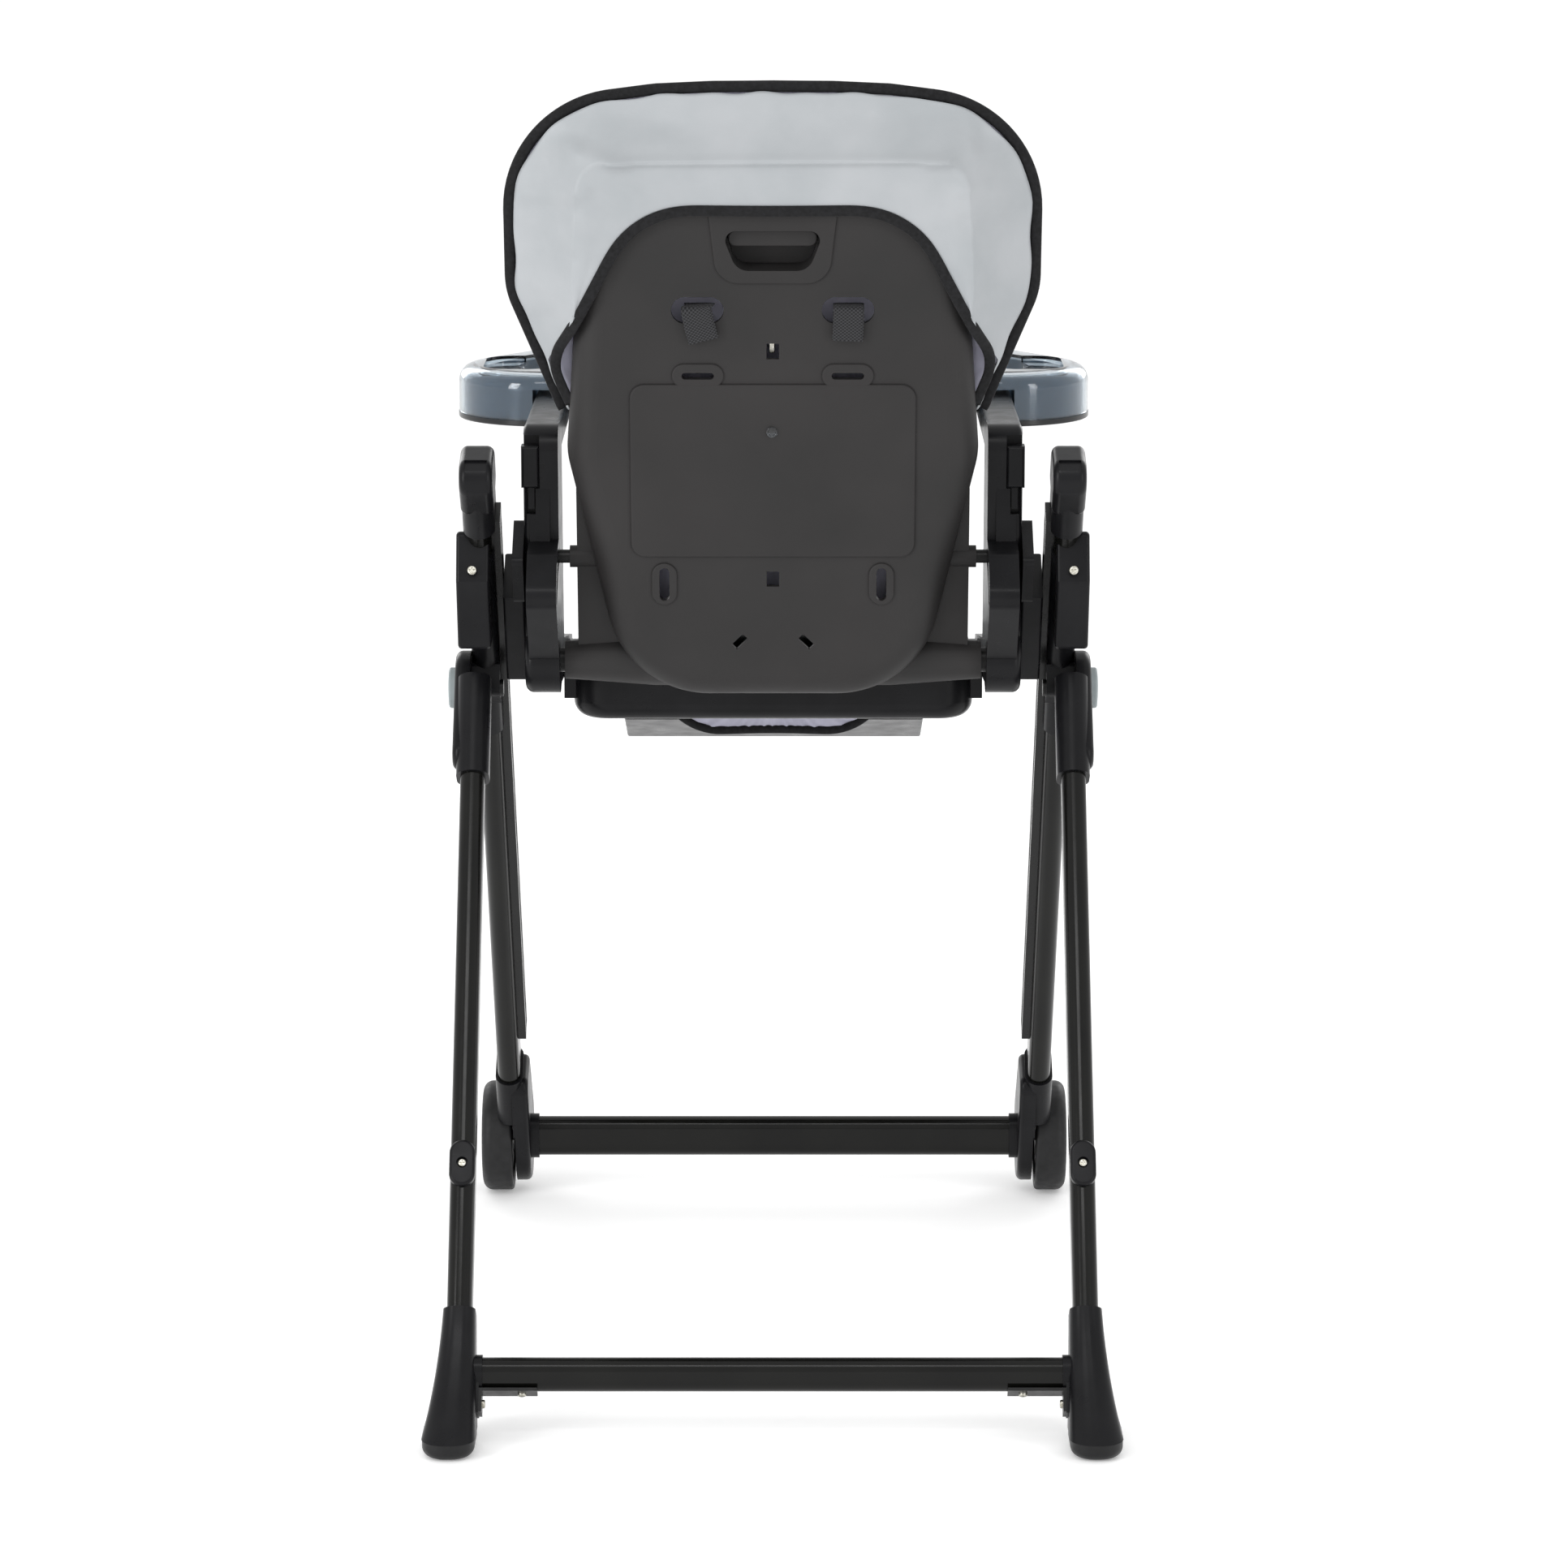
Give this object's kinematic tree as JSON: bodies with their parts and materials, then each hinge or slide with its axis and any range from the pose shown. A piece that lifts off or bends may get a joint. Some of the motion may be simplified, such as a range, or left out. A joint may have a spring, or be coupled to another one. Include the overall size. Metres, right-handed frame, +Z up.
{
  "type": "folding baby high chair",
  "caption": "Folding high chair for a baby: leaning legs on a pivot, sliding seat, reclining back, tray and footrest.",
  "frame": {"origin": "on the floor, under the centre of the chair's bounding box", "axes": "+Z up, the seated child faces -Y, +X is the child's left"},
  "size_m": [0.546, 0.857, 1.0456],
  "materials": {
    "black_tube": "gloss black powder coat",
    "black_moulding": "satin black moulded plastic",
    "shell_plastic": "fine-textured black moulded plastic",
    "rail_plastic": "smooth black moulded plastic",
    "steel": "bright zinc-plated steel",
    "axle_steel": "dark coated steel",
    "button_grey": "satin grey moulded plastic",
    "tyre_plastic": "hard black moulded tread",
    "wheel_core_plastic": "satin black moulded plastic",
    "foot_rubber": "soft black rubber",
    "cover_sheet": "smooth light grey coated fabric",
    "cushion_cover": "soft light grey coated fabric",
    "webbing": "coarse black woven webbing",
    "tray_plastic": "smoke blue-grey gloss plastic",
    "tray_clear": "clear gloss plastic"
  },
  "bodies": {
    "front_frame": {"front_leg_left": "black_tube", "front_leg_right": "black_tube", "height_rail_left": "rail_plastic", "height_rail_right": "rail_plastic", "leg_cap_left": "black_moulding", "leg_cap_right": "black_moulding", "hub_sleeve_left": "black_moulding", "hub_sleeve_right": "black_moulding", "wheel_bracket_left": "black_moulding", "wheel_bracket_right": "black_moulding", "front_crossbar": "black_tube", "hub_pivot_pins": "axle_steel", "wheel_axles": "axle_steel", "sleeve_screws": "steel"},
    "wheel_left": {"wheel_tyre_left": "tyre_plastic", "wheel_core_left": "wheel_core_plastic"},
    "wheel_right": {"wheel_tyre_right": "tyre_plastic", "wheel_core_right": "wheel_core_plastic"},
    "rear_frame": {"rear_leg_left": "black_tube", "rear_leg_right": "black_tube", "rear_bracket_left": "black_moulding", "rear_bracket_right": "black_moulding", "rear_foot_left": "black_moulding", "rear_foot_right": "black_moulding", "foot_pads": "foot_rubber", "rear_crossbar": "black_tube", "corner_brackets": "axle_steel", "corner_screws": "steel", "tube_joint_collars": "black_moulding", "tube_joint_screws": "steel"},
    "fold_button_left": {"fold_button_left": "button_grey"},
    "fold_button_right": {"fold_button_right": "button_grey"},
    "seat": {"side_arm_left": "black_moulding", "side_arm_right": "black_moulding", "height_slider_left": "black_moulding", "height_slider_right": "black_moulding", "recline_axle": "axle_steel", "seat_pan": "black_moulding", "footrest_pins": "axle_steel", "seat_pad": "cushion_cover", "crotch_strap": "webbing", "harness_buckle": "black_moulding"},
    "height_trigger_left": {"height_trigger_left": "black_moulding"},
    "height_trigger_right": {"height_trigger_right": "black_moulding"},
    "backrest": {"backrest_shell": "shell_plastic", "head_pocket": "cover_sheet", "backrest_pad": "cushion_cover", "shoulder_straps": "webbing", "strap_tongues": "black_moulding", "strap_ends": "webbing"},
    "recline_handle": {"recline_handle": "shell_plastic"},
    "lock_pin_left": {"recline_lock_pin_left": "axle_steel"},
    "lock_pin_right": {"recline_lock_pin_right": "axle_steel"},
    "footrest": {"footrest_frame": "black_moulding", "calf_flap": "cover_sheet"},
    "tray": {"tray_base": "tray_plastic"},
    "tray_cover": {"tray_cover": "tray_clear"},
    "tray_release": {"tray_release": "black_moulding"}
  },
  "joints": [
    {"name": "fold", "type": "hinge", "parent": "front_frame", "child": "rear_frame", "pos_m": [0, 0.01152, 0.533], "axis": [-1, 0, 0], "range_deg": [0, 64]},
    {"name": "wheel_left_spin", "type": "hinge", "parent": "front_frame", "child": "wheel_left", "pos_m": [0.252, -0.35448, 0.05], "axis": [1, 0, 0], "continuous": true},
    {"name": "wheel_right_spin", "type": "hinge", "parent": "front_frame", "child": "wheel_right", "pos_m": [-0.252, -0.35448, 0.05], "axis": [1, 0, 0], "continuous": true},
    {"name": "fold_button_left_press", "type": "slide", "parent": "rear_frame", "child": "fold_button_left", "axis": [-1, 0, 0], "range_m": [0, 0.004], "stiffness_N_per_m": 900, "springref_m": -0.002},
    {"name": "fold_button_right_press", "type": "slide", "parent": "rear_frame", "child": "fold_button_right", "axis": [1, 0, 0], "range_m": [0, 0.004], "stiffness_N_per_m": 900, "springref_m": -0.002},
    {"name": "seat_height", "type": "slide", "parent": "front_frame", "child": "seat", "axis": [0, 0.5519, 0.8339], "range_m": [-0.3, 0.06]},
    {"name": "height_trigger_left_squeeze", "type": "slide", "parent": "seat", "child": "height_trigger_left", "axis": [0, 0, 1], "range_m": [0, 0.008], "stiffness_N_per_m": 600, "springref_m": -0.002},
    {"name": "height_trigger_right_squeeze", "type": "slide", "parent": "seat", "child": "height_trigger_right", "axis": [0, 0, 1], "range_m": [0, 0.008], "stiffness_N_per_m": 600, "springref_m": -0.002},
    {"name": "recline", "type": "hinge", "parent": "seat", "child": "backrest", "pos_m": [0, 0.04152, 0.562], "axis": [-1, 0, 0], "range_deg": [0, 35]},
    {"name": "recline_handle_pull", "type": "slide", "parent": "backrest", "child": "recline_handle", "axis": [0, 0.1736, 0.9848], "range_m": [0, 0.006], "stiffness_N_per_m": 800, "springref_m": -0.002},
    {"name": "lock_pin_left_draw", "type": "slide", "parent": "backrest", "child": "lock_pin_left", "axis": [-1, 0, 0], "range_m": [0, 0.006]},
    {"name": "lock_pin_right_draw", "type": "slide", "parent": "backrest", "child": "lock_pin_right", "axis": [1, 0, 0], "range_m": [0, 0.006]},
    {"name": "footrest_tilt", "type": "hinge", "parent": "seat", "child": "footrest", "pos_m": [0, -0.20448, 0.492], "axis": [-1, 0, 0], "range_deg": [-58, 20]},
    {"name": "tray_slide", "type": "slide", "parent": "seat", "child": "tray", "axis": [0, -1, 0], "range_m": [0, 0.06]},
    {"name": "tray_cover_lift", "type": "slide", "parent": "tray", "child": "tray_cover", "axis": [0, 0, 1], "range_m": [0, 0.12]},
    {"name": "tray_release_pull", "type": "slide", "parent": "tray", "child": "tray_release", "axis": [0, -1, 0], "range_m": [0, 0.005], "stiffness_N_per_m": 600, "springref_m": -0.002}
  ],
  "couplings": [
    {"joint": "lock_pin_left_draw", "follows": "recline_handle_pull", "ratio": 1},
    {"joint": "lock_pin_right_draw", "follows": "recline_handle_pull", "ratio": 1}
  ]
}
